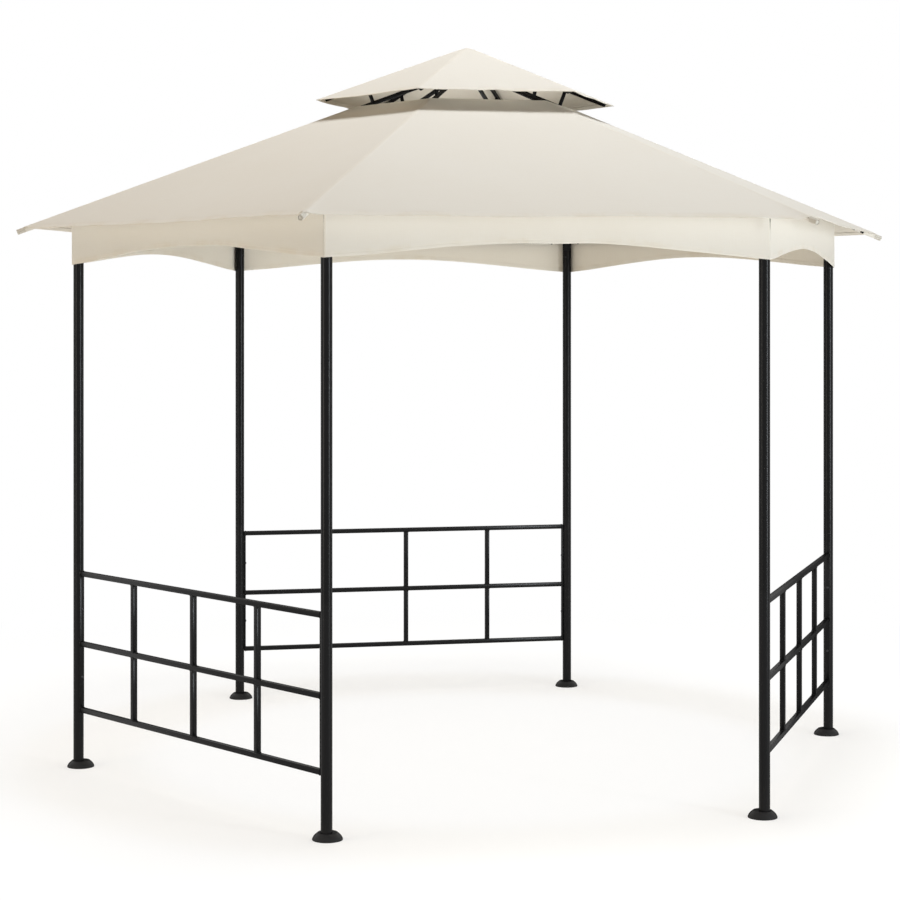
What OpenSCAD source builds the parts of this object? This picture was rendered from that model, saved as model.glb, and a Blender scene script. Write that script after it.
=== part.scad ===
// Hexagonal garden gazebo with a two-tier fabric roof.
// Six round tube posts stand on flared feet and carry eave beams and hip rafters. Welded railings
// close every second side, and a fabric valance with an arched lower edge hangs outside the posts.
// Millimetres, Z up. The origin is on the ground at the centre, and the open front side faces -Y.

/* [Posts] */
// Radius of the circle through the post axes
post_circle_r = 1450; // [1200:10:1800]
// Outside diameter of a post
post_d = 37; // [30:1:42]
// Wall of a post tube
post_wall = 1.2; // [0.8:0.1:2]
// Height of the post tube's top above the ground
post_top = 1925; // [1750:5:2200]

/* [Feet] */
// Diameter of a foot on the ground
foot_d = 97; // [86:1:130]
// Diameter of the flat top of a foot
foot_top_d = 64; // [60:1:74]
// Height of a foot
foot_h = 23; // [16:1:40]
// Height of the upright rim at the ground
foot_rim = 3; // [2:0.5:6]
// Outward swell of the flank between rim and top
foot_bulge = 2; // [0:0.5:4]
// How far a foot's centre lies inward of its post's axis
foot_offset = 8; // [0:1:10]
// Wall of the moulded foot
foot_wall = 3; // [2:0.5:4]
// Floor of the foot under the post
foot_floor = 4; // [3:0.5:8]

/* [Railings] */
// Width of the square rails and balusters
bar_w = 18; // [12:1:20]
// Height of the top rail's axis
top_rail_z = 705; // [640:5:900]
// Height of the middle rail's axis
mid_rail_z = 450; // [360:5:560]
// Height of the bottom rail's axis
bottom_rail_z = 210; // [120:5:280]
// Thickness of the upright end strip beside a post
strip_t = 6; // [4:0.5:10]
// Root gap of the welds between bars
weld_gap = 0.2; // [0.1:0.05:0.4]

/* [Eave frame] */
// Outside diameter of an eave beam
beam_d = 22; // [18:1:26]
// Wall of an eave beam
beam_wall = 1.2; // [0.8:0.1:2]
// Height of the beam axes above the post tops
beam_rise = 42; // [30:1:60]
// Length of a bracket arm from the post axis to its shoulder
arm_len = 45; // [35:1:70]
// Length of a bracket spigot inside a tube
spigot_len = 50; // [30:1:80]
// Height of the rafter axis over a post, above the post's top
bracket_h = 103; // [90:1:130]

/* [Rafters] */
// Outside diameter of the rafters
rafter_d = 16; // [13:1:20]
// Wall of a rafter tube
rafter_wall = 1; // [0.8:0.1:2]
// Radius at which the rafters start in the crown hub
rafter_seat_r = 25; // [22:1:34]
// Diameter of the crown hub across its rafter sockets
hub_d = 110; // [96:1:150]
// Diameter of the crown hub's core
hub_core_d = 74; // [70:1:84]
// Wall of the rafter sockets round the core
hub_socket_wall = 3; // [2:0.5:4]
// Chamfer round the core's rims
hub_chamfer = 5; // [2:0.5:8]
// Height of the crown hub
hub_h = 44; // [40:1:60]
// Diameter of the king tube between the hubs
king_d = 34; // [24:1:40]
// Diameter of the cap hub under the peak
cap_hub_d = 76; // [66:1:90]
// Diameter of the flat top of the cap hub, which blunts the peak
cap_hub_flat_d = 30; // [16:1:40]
// Depth of the cap hub below the rafter axes in it
cap_hub_depth = 16; // [13:1:22]
// Radius at which the cap rafters start in the cap hub
cap_seat_r = 22; // [20:1:26]
// How far inward of the vent's corners the struts of the upper tier stand
strut_inset = 65; // [30:1:90]
// Diameter of those struts
strut_d = 14; // [10:0.5:15]

/* [Main canopy] */
// Pitch of the main roof along its hips, in degrees
roof_pitch = 20.66; // [16:0.02:26]
// How far the fabric corners reach past the post axes
eave_overhang = 197; // [130:1:240]
// Length of a fabric corner sleeve on a rafter's end
sleeve_len = 24; // [22:1:60]
// Wall of a corner sleeve
sleeve_wall = 1.2; // [0.8:0.1:2]
// How far the rafter ends short of its sleeve's mouth
sleeve_recess = 12; // [4:1:20]
// Corner radius of the vent opening at the top
vent_r = 425; // [390:1:470]
// Thickness of the canopies
canopy_t = 3; // [2:0.5:5]
// Seam gap between neighbouring panels
seam_gap = 0.4; // [0.2:0.1:0.8]

/* [Upper canopy] */
// Corner radius of the upper canopy
cap_r = 577; // [500:1:680]
// Pitch of the upper canopy along its hips, in degrees
cap_pitch = 20.15; // [16:0.05:24]
// Height of the upper canopy's corners over the main canopy
cap_lift = 79; // [60:1:110]
// How far the cap rafters end short of the fabric corners
cap_recess = 38; // [2:1:50]

/* [Valance] */
// Gap between a post and the inner face of the valance
valance_clear = 2.2; // [1:0.1:20]
// Thickness of the valance
valance_t = 2; // [1.5:0.5:2]
// Height of the valance at its corners
valance_drop = 198; // [150:1:260]
// Rise of the arched lower edge at the middle of a side
arch_rise = 58; // [20:1:90]

/* [Hidden] */
// Running clearance between pieces that seat in or on each other
fit_gap = 0.3;
// Wall round the post in a foot's socket
socket_wall = 3;
// Room that the valance leaves round a rafter
rafter_notch = 1;
// Overrun of cutting bodies
overrun = 50;
// Share of a sine wave in the valance's arch, the rest being a raised cosine
arch_sine_share = 0.75;
// Positions of the balusters along a side, as shares of the post spacing
baluster_shares = [-0.25, 0, 0.25];
// Number of straight steps in the foot's flank and along one arch
flank_steps = 6;
arch_steps = 24;
$fn = 64;

black = [0.06, 0.06, 0.065];
cream = [0.86, 0.82, 0.74];

side = 60;
half = side / 2;
side_len = post_circle_r;
post_apothem = post_circle_r * cos(half);
post_bore_d = post_d - 2 * post_wall;
beam_bore_d = beam_d - 2 * beam_wall;
rafter_bore_d = rafter_d - 2 * rafter_wall;
socket_d = post_d + 2 * (fit_gap + socket_wall);
sleeve_bore_d = rafter_d + 2 * fit_gap;
sleeve_d = sleeve_bore_d + 2 * sleeve_wall;
hub_socket_d = sleeve_bore_d + 2 * hub_socket_wall;
beam_z = post_top + beam_rise;

// Slope angle of a roof panel, whose hips have the given pitch
function panel_pitch(pitch) = atan(tan(pitch) / cos(half));
// How far each panel falls away on either side of a hip, across the hip
function hip_fall(pitch) = acos(sqrt((1 + pow(sin(panel_pitch(pitch)), 2) * cos(side)
  + pow(cos(panel_pitch(pitch)), 2)) / 2));
// Height of a hip's upper line over the axis of the rafter below it
function rafter_depth(pitch) =
  (canopy_t + fit_gap + rafter_d / 2) / cos(hip_fall(pitch)) / cos(pitch);

// Heights of the hips and of the rafter axes, at a radius
eave_r = post_circle_r + eave_overhang;
function rafter_z(r) = post_top + bracket_h + (post_circle_r - r) * tan(roof_pitch);
function hip_z(r) = rafter_z(r) + rafter_depth(roof_pitch);
function cap_hip_z(r) = hip_z(cap_r) + cap_lift + (cap_r - r) * tan(cap_pitch);
function cap_rafter_z(r) = cap_hip_z(r) - rafter_depth(cap_pitch);
rafter_end_r = eave_r + (sleeve_len - sleeve_recess) * cos(roof_pitch);
hub_mid_r = (rafter_seat_r + hub_d / 2) / 2;
hub_z = rafter_z(hub_mid_r) - hub_h / 2;
cap_hub_mid_r = (cap_seat_r + cap_hub_d / 2) / 2;
cap_hub_z = cap_rafter_z(cap_hub_mid_r) - cap_hub_depth;

// Place of the struts, and their length from the main rafter's axis to the cap rafter's axis
strut_r = vent_r - strut_inset;
strut_len = (cap_rafter_z(strut_r) - rafter_z(strut_r)) * cos(cap_pitch)
  / cos(cap_pitch - roof_pitch);

// Corners, outer face and upper edge of the valance
valance_apothem = post_circle_r * cos(half) + post_d / 2 + valance_clear + valance_t;
valance_r = valance_apothem / cos(half);
valance_top = hip_z(eave_r) + (eave_r - valance_r) * tan(roof_pitch)
  - canopy_t / cos(panel_pitch(roof_pitch)) - fit_gap;
valance_bottom = valance_top - valance_drop;

CORNERS = ["right", "back_right", "back_left", "left", "front_left", "front_right"];
SIDES = ["right_back", "back", "left_back", "left_front", "front", "right_front"];

// Places a piece at a corner: local X points outward from the centre
module at_corner(k) {
  rotate([0, 0, k * side]) children();
}

// Places a piece on a side: local X points outward through the middle of the side
module at_side(k) {
  rotate([0, 0, k * side + half]) children();
}

// Round tube along local Z
module tube(d, bore, length) {
  difference() {
    cylinder(d = d, h = length);
    translate([0, 0, -overrun]) cylinder(d = bore, h = length + 2 * overrun);
  }
}

// Turns local Z outward and down along a main rafter, from the given radius
module along_rafter(r) {
  translate([r, 0, rafter_z(r)]) rotate([0, 90 + roof_pitch, 0]) children();
}

// Turns local Z outward and down along a cap rafter, from the given radius
module along_cap_rafter(r) {
  translate([r, 0, cap_rafter_z(r)]) rotate([0, 90 + cap_pitch, 0]) children();
}

// Space of a main rafter with a clearance round it
module rafter_space(gap) {
  along_rafter(rafter_seat_r)
    cylinder(d = rafter_d + 2 * gap, h = (rafter_end_r - rafter_seat_r) / cos(roof_pitch));
}

// Space of a cap rafter with a clearance round it
module cap_rafter_space(gap) {
  along_cap_rafter(cap_seat_r)
    cylinder(d = rafter_d + 2 * gap, h = (cap_r - cap_recess - cap_seat_r) / cos(cap_pitch));
}

// Plan of one roof panel, between two hips and from one corner radius in to another
module panel_plan(outer_r, inner_r) {
  outer = outer_r * cos(half);
  seam = seam_gap / 2 / cos(half);
  inner = max(inner_r * cos(half), seam / tan(half));
  polygon([
    [outer, outer * tan(half) - seam],
    [inner, inner * tan(half) - seam],
    [inner, seam - inner * tan(half)],
    [outer, seam - outer * tan(half)]
  ]);
}

// Flat sloping panel with its upper face on the hips
module roof_panel(outer_r, inner_r, outer_z, pitch) {
  outer = outer_r * cos(half);
  run = outer / cos(panel_pitch(pitch)) + overrun;
  intersection() {
    linear_extrude(height = outer_z + outer_r) panel_plan(outer_r, inner_r);
    translate([outer, 0, outer_z]) rotate([0, panel_pitch(pitch), 0])
      translate([-run, -outer_r, -canopy_t]) cube([run + overrun, 2 * outer_r, canopy_t]);
  }
}

module post(k) {
  color(black) at_corner(k)
    translate([post_circle_r, 0, foot_floor]) tube(post_d, post_bore_d, post_top - foot_floor);
}

// Flank of a foot from its rim up to its flat top
function flank(t) = [
  foot_d / 2 + (foot_top_d - foot_d) / 2 * t + foot_bulge * sin(180 * t),
  foot_rim + (foot_h - foot_rim) * t + foot_bulge * sin(180 * t) * (1 - t)
];

// Flared foot, moulded hollow, with a socket that takes the post
module foot(k) {
  color(black) at_corner(k) difference() {
    union() {
      translate([post_circle_r - foot_offset, 0, 0]) difference() {
        rotate_extrude() polygon(concat(
          [[0, 0], [foot_d / 2, 0]],
          [for (i = [0 : flank_steps]) flank(i / flank_steps)],
          [[0, foot_h]]
        ));
        rotate_extrude() polygon([
          [0, -overrun],
          [foot_d / 2 - foot_wall, -overrun],
          [foot_d / 2 - foot_wall, foot_rim - foot_wall],
          [foot_top_d / 2 - foot_wall, foot_h - foot_wall],
          [0, foot_h - foot_wall]
        ]);
      }
      translate([post_circle_r, 0, 0]) cylinder(d = socket_d, h = foot_h);
    }
    translate([post_circle_r, 0, foot_floor]) cylinder(d = post_d + 2 * fit_gap, h = foot_h);
  }
}

// Connector in a post's top: two arms take the eave beams, and a saddle takes the rafter
module corner_bracket(k) {
  color(black) at_corner(k) difference() {
    translate([post_circle_r, 0, 0]) {
      translate([0, 0, post_top]) cylinder(d = post_d, h = bracket_h);
      translate([0, 0, post_top - spigot_len]) cylinder(d = post_bore_d - 2 * fit_gap, h = spigot_len);
      for (turn = [-2 * side, 2 * side])
        translate([0, 0, beam_z]) rotate([0, 90, turn]) {
          cylinder(d = beam_d, h = arm_len);
          cylinder(d = beam_bore_d - 2 * fit_gap, h = arm_len + spigot_len);
        }
    }
    rafter_space(fit_gap);
    along_rafter(post_circle_r)
      translate([-post_d, -post_d, -post_d]) cube([post_d, 2 * post_d, 2 * post_d]);
  }
}

module eave_beam(k) {
  color(black) at_side(k)
    translate([post_apothem, arm_len - side_len / 2, beam_z]) rotate([-90, 0, 0])
      tube(beam_d, beam_bore_d, side_len - 2 * arm_len);
}

module rafter(k) {
  color(black) at_corner(k) difference() {
    rafter_space(0);
    along_rafter(rafter_seat_r) translate([0, 0, -overrun])
      cylinder(d = rafter_bore_d, h = post_circle_r + eave_r);
  }
}

// Rafter of the upper tier with the strut that stands on the main rafter
module cap_rafter(k) {
  color(black) at_corner(k) difference() {
    union() {
      cap_rafter_space(0);
      translate([strut_r, 0, rafter_z(strut_r)]) rotate([0, roof_pitch, 0])
        cylinder(d = strut_d, h = strut_len);
    }
    rafter_space(fit_gap);
    along_cap_rafter(cap_seat_r) translate([0, 0, -overrun])
      cylinder(d = rafter_bore_d, h = cap_r + overrun);
  }
}

// Welded railing between two posts: three rails, balusters and an end strip beside each post
module railing(k) {
  strip_y = side_len / 2 - post_d / 2 - fit_gap - strip_t;
  rail_len = 2 * (strip_y - weld_gap);
  rails = [bottom_rail_z, mid_rail_z, top_rail_z];
  color(black) at_side(k) translate([post_apothem - bar_w / 2, 0, 0]) {
    for (z = rails)
      translate([0, -rail_len / 2, z - bar_w / 2]) cube([bar_w, rail_len, bar_w]);
    for (y = [-strip_y - strip_t, strip_y])
      translate([0, y, bottom_rail_z - bar_w / 2])
        cube([bar_w, strip_t, top_rail_z - bottom_rail_z + bar_w]);
    for (share = baluster_shares, i = [0, 1])
      translate([0, share * side_len - bar_w / 2, rails[i] + bar_w / 2 + weld_gap])
        cube([bar_w, bar_w, rails[i + 1] - rails[i] - bar_w - 2 * weld_gap]);
  }
}

// Hub with a socket for each main rafter round its core, and the king tube that lifts the peak
module crown_hub() {
  color(black) difference() {
    union() {
      translate([0, 0, hub_z]) rotate_extrude() polygon([
        [0, 0],
        [hub_core_d / 2 - hub_chamfer, 0],
        [hub_core_d / 2, hub_chamfer],
        [hub_core_d / 2, hub_h - hub_chamfer],
        [hub_core_d / 2 - hub_chamfer, hub_h],
        [0, hub_h]
      ]);
      for (k = [0 : len(CORNERS) - 1])
        at_corner(k) along_rafter(rafter_seat_r)
          cylinder(d = hub_socket_d, h = (hub_d / 2 - rafter_seat_r) / cos(roof_pitch));
      translate([0, 0, hub_z]) cylinder(d = king_d, h = cap_hub_z - hub_z);
    }
    for (k = [0 : len(CORNERS) - 1])
      at_corner(k) along_rafter(rafter_seat_r) cylinder(d = sleeve_bore_d, h = hub_d);
  }
}

// Hub under the peak: the cap rafters lie in grooves, and the top follows the fabric
module cap_hub() {
  slope = tan(panel_pitch(cap_pitch));
  peak = cap_hip_z(0) - canopy_t / cos(panel_pitch(cap_pitch)) - fit_gap;
  color(black) difference() {
    rotate_extrude() polygon([
      [0, cap_hub_z],
      [cap_hub_d / 2, cap_hub_z],
      [cap_hub_d / 2, peak - slope * cap_hub_d / 2],
      [cap_hub_flat_d / 2, peak - slope * cap_hub_flat_d / 2],
      [0, peak - slope * cap_hub_flat_d / 2]
    ]);
    for (k = [0 : len(CORNERS) - 1]) at_corner(k) cap_rafter_space(fit_gap);
  }
}

// Main canopy: six sewn panels round the vent opening
module main_canopy() {
  color(cream) for (k = [0 : len(SIDES) - 1])
    at_side(k) roof_panel(eave_r, vent_r, hip_z(eave_r), roof_pitch);
}

// Fabric sleeves on the rafter ends, open at their mouths
module corner_sleeves() {
  color(cream) for (k = [0 : len(CORNERS) - 1])
    at_corner(k) along_rafter(eave_r) tube(sleeve_d, sleeve_bore_d, sleeve_len);
}

// Upper canopy: six panels that meet at the peak over the vent
module upper_canopy() {
  color(cream) for (k = [0 : len(SIDES) - 1])
    at_side(k) roof_panel(cap_r, 0, cap_hip_z(cap_r), cap_pitch);
}

// Rise of the valance's lower edge at a share of its length
function arch(t) = arch_rise * (arch_sine_share * sin(180 * t)
  + (1 - arch_sine_share) * (1 - cos(360 * t)) / 2);

// Valance: six hanging panels with arched lower edges, notched for the rafters
module valance() {
  color(cream) for (k = [0 : len(SIDES) - 1]) difference() {
    at_side(k) intersection() {
      linear_extrude(height = valance_top + overrun) panel_plan(valance_r, 0);
      translate([valance_apothem - valance_t, 0, 0]) rotate([90, 0, 90])
        linear_extrude(height = valance_t) polygon(concat(
          [for (i = [0 : arch_steps])
            [(i / arch_steps - 1 / 2) * valance_r, valance_bottom + arch(i / arch_steps)]],
          [[valance_r / 2, valance_top], [-valance_r / 2, valance_top]]
        ));
    }
    for (c = [k, k + 1]) at_corner(c) rafter_space(rafter_notch);
  }
}

post(0);  // post_right
post(1);  // post_back_right
post(2);  // post_back_left
post(3);  // post_left
post(4);  // post_front_left
post(5);  // post_front_right
foot(0);  // foot_right
foot(1);  // foot_back_right
foot(2);  // foot_back_left
foot(3);  // foot_left
foot(4);  // foot_front_left
foot(5);  // foot_front_right
corner_bracket(0);  // corner_bracket_right
corner_bracket(1);  // corner_bracket_back_right
corner_bracket(2);  // corner_bracket_back_left
corner_bracket(3);  // corner_bracket_left
corner_bracket(4);  // corner_bracket_front_left
corner_bracket(5);  // corner_bracket_front_right
eave_beam(0);  // eave_beam_right_back
eave_beam(1);  // eave_beam_back
eave_beam(2);  // eave_beam_left_back
eave_beam(3);  // eave_beam_left_front
eave_beam(4);  // eave_beam_front
eave_beam(5);  // eave_beam_right_front
rafter(0);  // rafter_right
rafter(1);  // rafter_back_right
rafter(2);  // rafter_back_left
rafter(3);  // rafter_left
rafter(4);  // rafter_front_left
rafter(5);  // rafter_front_right
cap_rafter(0);  // cap_rafter_right
cap_rafter(1);  // cap_rafter_back_right
cap_rafter(2);  // cap_rafter_back_left
cap_rafter(3);  // cap_rafter_left
cap_rafter(4);  // cap_rafter_front_left
cap_rafter(5);  // cap_rafter_front_right
railing(1);  // railing_back
railing(3);  // railing_left_front
railing(5);  // railing_right_front
crown_hub();
cap_hub();
main_canopy();
corner_sleeves();
upper_canopy();
valance();
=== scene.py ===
from math import atan, atan2, copysign, cos, hypot, pi, radians, sin, tan

import bpy
from mathutils import Matrix, Vector


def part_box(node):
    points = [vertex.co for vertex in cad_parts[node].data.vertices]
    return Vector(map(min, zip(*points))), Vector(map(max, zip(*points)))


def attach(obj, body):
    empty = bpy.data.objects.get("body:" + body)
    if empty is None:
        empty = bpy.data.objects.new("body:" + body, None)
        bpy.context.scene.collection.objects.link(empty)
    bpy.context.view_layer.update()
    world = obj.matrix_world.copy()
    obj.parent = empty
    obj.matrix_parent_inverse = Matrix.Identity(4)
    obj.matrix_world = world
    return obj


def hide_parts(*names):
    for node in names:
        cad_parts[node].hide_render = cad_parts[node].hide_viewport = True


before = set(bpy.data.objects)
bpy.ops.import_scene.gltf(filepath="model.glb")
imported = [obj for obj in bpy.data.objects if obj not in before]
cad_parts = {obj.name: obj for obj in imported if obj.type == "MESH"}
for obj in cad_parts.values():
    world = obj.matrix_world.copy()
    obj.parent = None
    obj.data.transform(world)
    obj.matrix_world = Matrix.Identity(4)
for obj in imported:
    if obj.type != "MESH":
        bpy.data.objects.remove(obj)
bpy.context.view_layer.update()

bl_info = {
    "name": "Garden gazebo",
    "version": (1, 0, 0),
    "blender": (4, 5, 0),
    "location": "View3D > Sidebar > Gazebo",
    "description": "Dresses the frame of a garden gazebo with cloth, finishes and fittings",
    "category": "Object",
}

# Corners and sides are counted round from the right corner
SIDES = ["right_back", "back", "left_back", "left_front", "front", "right_front"]
RAILED = [1, 3, 5]
SIXTH = radians(60)
SIN_SIXTH = sin(SIXTH)
COS_HALF, TAN_HALF = cos(SIXTH / 2), tan(SIXTH / 2)
STEEL = ("post_", "eave_beam_", "rafter_", "cap_rafter_")
MOULDED = ("foot_", "corner_bracket_", "crown_hub", "cap_hub")

# Hem, half seam and softness of their edges, shared by the cut cloth and its finish
HEM, SEAM, EDGE = 0.024, 0.009, 0.0005


def linear(red, green, blue):
    """A screen colour, from 0 to 255, in linear values"""
    shares = [value / 255 for value in (red, green, blue)]
    return [s / 12.92 if s <= 0.04045 else ((s + 0.055) / 1.055) ** 2.4 for s in shares]


def length(name, description, default):
    return bpy.props.FloatProperty(
        name=name, description=description, default=default, min=0, precision=4, unit="LENGTH")


def angle(name, description, degrees):
    return bpy.props.FloatProperty(
        name=name, description=description, default=radians(degrees), subtype="ANGLE")


def colour(name, description, *screen):
    return bpy.props.FloatVectorProperty(
        name=name, description=description, default=linear(*screen), size=3, min=0, max=1, subtype="COLOR")


class GazeboFrame(bpy.types.PropertyGroup):
    """Sizes of the steel frame"""
    post_circle: length("Post circle", "Radius to the post axes", 1.45)
    post_width: length("Post diameter", "Outside diameter of a post", 0.037)
    post_top: length("Post top", "Height of a post tube's top", 1.925)
    bar_width: length("Bar width", "Width of the square bars", 0.018)
    bottom_rail: length("Bottom rail", "Height of its axis", 0.21)
    middle_rail: length("Middle rail", "Height of its axis", 0.45)
    top_rail: length("Top rail", "Height of its axis", 0.705)
    strip: length("End strip", "Thickness of the strip beside a post", 0.006)
    bar_rounding: length("Bar rounding", "Radius along a bar's edges", 0.0016)
    bead: length("Weld bead", "Thickness of a weld bead", 0.0021)
    beam_height: length("Beam height", "Height of the eave beams' axes", 1.967)
    beam_width: length("Beam diameter", "Outside diameter of a beam", 0.022)
    beam_start: length("Beam start", "From a post's axis to a beam's end", 0.045)
    rafter_rise: length("Rafter height", "Height of a rafter's axis over a post", 2.028)
    rafter_width: length("Rafter diameter", "Outside diameter of a rafter", 0.016)
    hub_floor: length("Crown underside", "Height of the crown hub's underside", 2.5377)


class GazeboCloth(bpy.types.PropertyGroup):
    """Sizes of the cloth"""
    thickness: length("Cloth thickness", "Thickness of the cloth", 0.0009)
    eave: length("Eave radius", "Radius of the main canopy's corners", 1.647)
    vent: length("Vent radius", "Radius of the vent's corners", 0.425)
    peak: length("Main peak", "Height at which the main hips would meet", 2.58709)
    pitch: angle("Main pitch", "Pitch along the main hips", 20.66)
    belly: length("Belly", "Hollow of a main panel", 0.007)
    cap_eave: length("Cap radius", "Radius of the upper canopy's corners", 0.577)
    cap_peak: length("Cap peak", "Height of the upper canopy's peak", 2.66018)
    cap_pitch: angle("Cap pitch", "Pitch along the upper hips", 20.15)
    cap_belly: length("Cap belly", "Hollow of an upper panel", 0.004)
    cap_rafter_depth: length("Cap rafter depth", "Depth of its axis under the upper hips", 0.01227)
    cap_blunt: length("Cap blunting", "Radius of the upper canopy's blunt top", 0.009)
    hem: length("Hem", "Width of the turned hems", HEM)
    hem_depth: length("Hem depth", "Thickness of a turned hem", 0.0026)
    seam: length("Seam", "Half width of the seams along the hips", SEAM)
    seam_rise: length("Seam rise", "How far a seam stands proud", 0.0007)
    ridge_rounding: length("Ridge rounding", "Width over which a hip rounds off", 0.012)
    valance_corner: length("Valance corner", "Radius of the valance's outer corners", 1.4762)
    valance_foot: length("Valance foot", "Height of the valance's lower corners", 1.8295)
    arch: length("Arch rise", "Rise of the valance's lower edge", 0.058)
    slit_width: length("Slit width", "Half width of a slit at its rafter", 0.0105)
    sleeve_reach: length("Sleeve reach", "How far it reaches past the canopy", 0.024)
    sleeve_cover: length("Sleeve cover", "How far it runs back under the canopy", 0.090)
    sleeve_width: length("Sleeve diameter", "Outside diameter of a sleeve", 0.0192)
    slot_middle: length("Sleeve slot", "From the canopy's corner back to the slot", 0.060)
    slot_length: length("Slot length", "Length of the slot under a sleeve", 0.014)
    binding_width: length("Binding width", "Width of the tape round a sleeve's mouth", 0.032)


class GazeboColours(bpy.types.PropertyGroup):
    """Colours of the finishes"""
    cream: colour("Cream", "Coated polyester cloth", 236, 234, 228)
    cream_deep: colour("Deep cream", "Shaded threads and handled places", 227, 220, 206)
    # The inner face's own tone, made darker and warmer than the outer cream as painted shade of the warm,
    # dimmer light under the roof
    lining_and_shade: colour("Lining cream", "Inner face of the cloth", 232, 228, 218)
    lining_and_shade_deep: colour("Deep lining", "Shaded threads of the inner face", 222, 213, 196)
    thread: colour("Thread", "Sewing thread", 240, 236, 226)
    powder: colour("Powder black", "Powder coat on the steel", 17, 17, 18)
    scuff: colour("Scuff grey", "Rubbed and dusty places", 58, 57, 56)
    moulding: colour("Moulded black", "Feet and connectors", 18, 18, 19)
    zinc: colour("Blackened zinc", "Screws and spring buttons", 58, 58, 60)
    plug: colour("Plug cream", "End plugs in the rafters", 216, 212, 202)
    binding: colour("Binding grey", "Tape round the sleeves' mouths", 217, 213, 203)
    floor: colour("Floor", "Pale studio floor", 244, 244, 244)


def sizes(context):
    return context.scene.gazebo_frame, context.scene.gazebo_cloth


def sums(operation):
    """A method that adds a Math node for two values"""
    return lambda wire, other: wire.maths(operation, wire, other)


class Wire:
    """A value on its way to a shader; sums on it add Math nodes"""

    def __init__(self, maker, socket):
        self.maker, self.socket = maker, socket

    def maths(self, operation, *values):
        return self.maker.node("Math", {"operation": operation}, dict(enumerate(values)))

    __add__ = __radd__ = sums("ADD")
    __mul__, __sub__, larger = sums("MULTIPLY"), sums("SUBTRACT"), sums("MAXIMUM")

    def __rsub__(self, other):
        return self.maths("SUBTRACT", other, self)

    def __abs__(self):
        return self.maths("ABSOLUTE", self)

    def wave(self, pitch):
        """A sine that repeats at a pitch"""
        return self.maths("SINE", self * (2 * pi / pitch))

    def within(self, low, high):
        """A soft step from 0 at low to 1 at high; low may be the larger"""
        soft_step = {"interpolation_type": "SMOOTHSTEP"}
        return self.maker.node("MapRange", soft_step, {0: self, 1: low, 2: high})


class Nodes:
    """Adds nodes to one tree"""

    def __init__(self, tree):
        self.tree = tree

    def node(self, kind, settings=None, links=None, out=0):
        node = self.tree.nodes.new("ShaderNode" + kind)
        for name, value in (settings or {}).items():
            setattr(node, name, value)
        for socket, value in (links or {}).items():
            self.feed(node.inputs[socket], value)
        return Wire(self, node.outputs[out])

    def feed(self, socket, value):
        if isinstance(value, Wire):
            self.tree.links.new(value.socket, socket)
        else:
            socket.default_value = value

    def found(self, kind):
        return next(node for node in self.tree.nodes if node.type == kind)

    def mix(self, factor, first, second):
        return self.node("Mix", {"data_type": "RGBA"}, {0: factor, 6: first, 7: second}, out=2)

    def place(self):
        return self.node("TexCoord", out="Object")

    def stretched(self, vector, x, y, z):
        return self.node("VectorMath", {"operation": "MULTIPLY"}, {0: vector, 1: (x, y, z)})

    def parts(self, vector):
        first = self.node("SeparateXYZ", links={0: vector})
        return [Wire(self, socket) for socket in first.socket.node.outputs]

    def noise(self, vector, scale, detail=2, roughness=0.5):
        links = {"Vector": vector, "Scale": scale, "Detail": detail, "Roughness": roughness}
        return self.node("TexNoise", links=links)

    def background_rays(self):
        """One on the rays that show the background"""
        path = self.node("LightPath").socket.node
        camera, gloss, through = (
            Wire(self, path.outputs[f"Is {kind} Ray"]) for kind in ("Camera", "Glossy", "Transmission"))
        return camera.larger(gloss.larger(through))


class Finish(Nodes):
    """One material, built up node by node round its shader"""

    def __init__(self, name):
        self.material = bpy.data.materials.new(name)
        self.material.use_nodes = True
        super().__init__(self.material.node_tree)
        self.shader = self.found("BSDF_PRINCIPLED")

    def set(self, socket, value):
        self.feed(self.shader.inputs[socket], value)

    def cover(self, share, shader):
        """Mixes a share of another shader over the plain one"""
        own = Wire(self, self.shader.outputs[0])
        mixed = self.node("MixShader", links={0: share, 1: own, 2: shader})
        self.feed(self.found("OUTPUT_MATERIAL").inputs["Surface"], mixed)

    def dull_at_edges(self, tone):
        """Takes the gloss off where the surface turns away"""
        turned = self.node("LayerWeight", links={"Blend": 0.5}, out="Facing")
        dull = self.node("BsdfDiffuse", links={"Color": opaque(tone)})
        self.cover(turned.within(0.5, 0.85) * 0.92, dull)

    def height_and_facing(self, place):
        """Height over the ground, and how far the surface faces up"""
        return self.parts(place)[2], self.parts(self.node("NewGeometry", out="Normal"))[2]

    def cut_map(self, name):
        """A map of the cut cloth, with its two parts"""
        found = self.node("UVMap", {"uv_map": name})
        return found, *self.parts(found)[:2]

    def bump(self, height, strength, distance=0.0004, below=None):
        links = {"Height": height, "Strength": strength, "Distance": distance}
        if below:
            links["Normal"] = below
        return self.node("Bump", links=links)


def opaque(tone, share=1):
    """A tone, or a share of it, as a shader takes it"""
    return (*(value * share for value in tone), 1.0)


def finish(build):
    """The material that a function builds, made only once"""
    made = bpy.data.materials.get(build.__name__)
    if not made:
        f = Finish(build.__name__)
        build(f, bpy.context.scene.gazebo_colours)
        made = f.material
    return made


WEAVE_PITCH, STITCH_PITCH, RIB_PITCH = 0.0011, 0.0048, 0.0016
SEAM_ROW, HEM_ROW = 0.0066, 0.0185
# Half widths of a thread row and of its dent, and the part of a wave that is a stitch
THREAD, DENTED, DASH = (0.0008, 0.0004), (0.0022, 0.0009), (-0.45, -0.2)


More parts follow.
